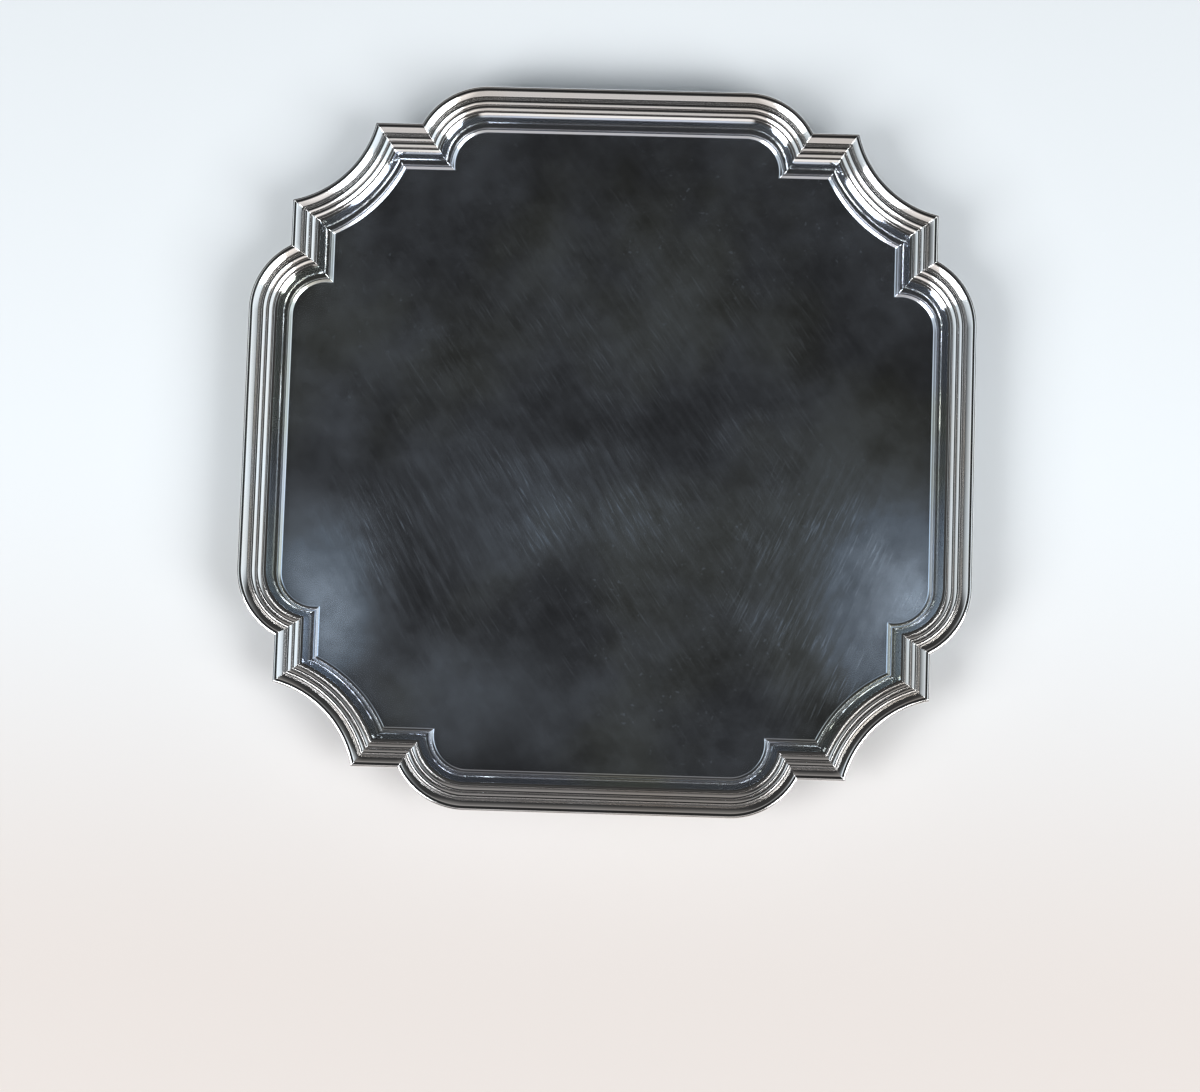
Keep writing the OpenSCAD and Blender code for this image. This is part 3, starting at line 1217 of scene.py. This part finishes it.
@dataclass
class Studio:
    """Pale floor, soft lights, dim surroundings and the camera.

    Attributes:
        softboxes: area lights.
        base: radiance of the room between the glows.
        glows: soft patches of light in the room.
        dark: patch that hides the glows above the salver.
        overhead: radiance that the dark patch leaves.
        cool, cream: floor colours at the back and in front.
        fade: where the floor turns from cream to cool, along Y in metres.
        floor_reach: half the floor's width in metres.
        floor_count: floor points along each side.
    """

    softboxes: tuple[Softbox, ...] = (
        Softbox("LeftSoftbox", 212, 47, (0.8, 1.2), 24, (0.96, 0.98, 1.0)),
        Softbox("RightSoftbox", 328, 47, (0.8, 1.2), 24, (0.96, 0.98, 1.0)),
        Softbox("FrontStrip", 270, 57, (2.4, 0.5), 2.1, (1.0, 0.94, 0.91)),
    )
    base: float = 0.018
    glows: tuple[Glow, ...] = (
        Glow(0, 60, 12, 26, 1.0, (0.84, 0.93, 1.0)),
        Glow(180, 60, 12, 26, 0.75, (0.84, 0.93, 1.0)),
        Glow(180, 20, 6, 40, 0.01, (0.80, 0.92, 1.0)),
        Glow(270, 38, 4, 10, 0.9, (1.0, 0.96, 0.94)),
        Glow(90, 52, 6, 20, 0.24, (1.0, 0.94, 0.90)),
        Glow(45, 58, 8, 20, 0.16, (0.94, 0.98, 1.0)),
        Glow(135, 58, 8, 20, 0.20, (0.94, 0.98, 1.0)),
        Glow(240, 60, 5, 15, 0.30, (1.0, 0.96, 0.94)),
        Glow(300, 60, 5, 15, 0.35, (1.0, 0.96, 0.94)),
    )
    dark: Glow = Glow(98, 83, 9, 14, 0.98)
    overhead: float = 0.018
    cool: Tint = (0.725, 0.75, 0.765, 1.0)
    cream: Tint = (0.62, 0.565, 0.53, 1.0)
    fade: tuple[float, float] = (-0.24, 0.02)
    floor_reach: float = 3.0
    floor_count: int = 9

    def floor(self) -> bpy.types.Object:
        """Wide flat floor under the feet, cool at the back, cream in front."""
        count = self.floor_count
        line = np.linspace(-self.floor_reach, self.floor_reach, count)
        x, y = np.meshgrid(line, line, indexing="ij")
        verts = np.stack([x.ravel(), y.ravel(), np.zeros(x.size)], -1)
        i, j = np.arange(count - 1)[:, None], np.arange(count - 1)[None, :]
        k = (i * count + j).ravel()
        quads = np.stack([k, k + count, k + count + 1, k + 1], -1)
        mesh = bpy.data.meshes.new("Floor")
        mesh.from_pydata(verts.tolist(), [], quads.tolist())
        obj = bpy.data.objects.new("Floor", mesh)
        bpy.context.scene.collection.objects.link(obj)
        nt = NodeTree("PaleFloor")
        at = nt.add("TexCoord").outputs["Object"]
        split = nt.add("SeparateXYZ")
        nt.put(split.inputs[0], at)
        share = nt.ramp(split.outputs["Y"], *self.fade)
        nt.put(nt.shader.inputs["Base Color"], nt.mix(share, self.cream, self.cool))
        nt.shader.inputs["Roughness"].default_value = 0.9
        mesh.materials.append(nt.material)
        return obj

    def surroundings(self) -> None:
        """Dim room with soft patches of light and a dark patch overhead."""
        world = bpy.data.worlds.new("Room")
        bpy.context.scene.world = world
        world.use_nodes = True
        tree = world.node_tree
        tree.nodes.clear()

        def add(kind: str, **settings: object) -> bpy.types.Node:
            node = tree.nodes.new("ShaderNode" + kind)
            for key, value in settings.items():
                setattr(node, key, value)
            return node

        at = add("TexCoord").outputs["Generated"]

        def patch(glow: Glow) -> bpy.types.NodeSocket:
            near = add("VectorMath", operation="DOT_PRODUCT")
            tree.links.new(at, near.inputs[0])
            near.inputs[1].default_value = towards(glow.azimuth, glow.elevation)
            soft = add("MapRange", interpolation_type="SMOOTHSTEP")
            tree.links.new(near.outputs["Value"], soft.inputs["Value"])
            soft.inputs["From Min"].default_value = math.cos(math.radians(glow.reach))
            soft.inputs["From Max"].default_value = math.cos(math.radians(glow.core))
            soft.inputs["To Max"].default_value = glow.strength
            return soft.outputs["Result"]

        total = None
        for glow in self.glows:
            tinted = add("VectorMath", operation="SCALE")
            tinted.inputs[0].default_value = glow.colour
            tree.links.new(patch(glow), tinted.inputs["Scale"])
            joined = add("VectorMath", operation="ADD")
            tree.links.new(tinted.outputs[0], joined.inputs[0])
            if total is None:
                joined.inputs[1].default_value = (self.base,) * 3
            else:
                tree.links.new(total, joined.inputs[1])
            total = joined.outputs[0]
        keep = add("Math", operation="SUBTRACT")
        keep.inputs[0].default_value = 1.0
        tree.links.new(patch(self.dark), keep.inputs[1])
        dimmed = add("VectorMath", operation="SCALE")
        tree.links.new(total, dimmed.inputs[0])
        tree.links.new(keep.outputs[0], dimmed.inputs["Scale"])
        lifted = add("VectorMath", operation="ADD")
        tree.links.new(dimmed.outputs[0], lifted.inputs[0])
        lifted.inputs[1].default_value = (self.overhead,) * 3
        light = add("Background")
        tree.links.new(lifted.outputs[0], light.inputs["Color"])
        tree.links.new(light.outputs[0], add("OutputWorld").inputs[0])

    def build(self) -> None:
        """Set the whole stage."""
        self.floor()
        self.surroundings()
        for box in self.softboxes:
            box.build()
        View().build()
        view = bpy.context.scene.view_settings
        view.view_transform = "Standard"
        view.look = "None"


def main() -> None:
    """Build the salver and its studio."""
    logging.basicConfig(level=logging.INFO, format="%(name)s: %(message)s")
    outline, levels = Outline(), Levels()
    Tray(outline, TraySection(levels), FLAT_SILVER).build()
    Border(outline, BorderSection(levels), BORDER_SILVER).build()
    Feet(levels, FOOT_SILVER).build()
    Studio().build()
    bpy.context.view_layer.update()


if __name__ == "__main__":
    main()
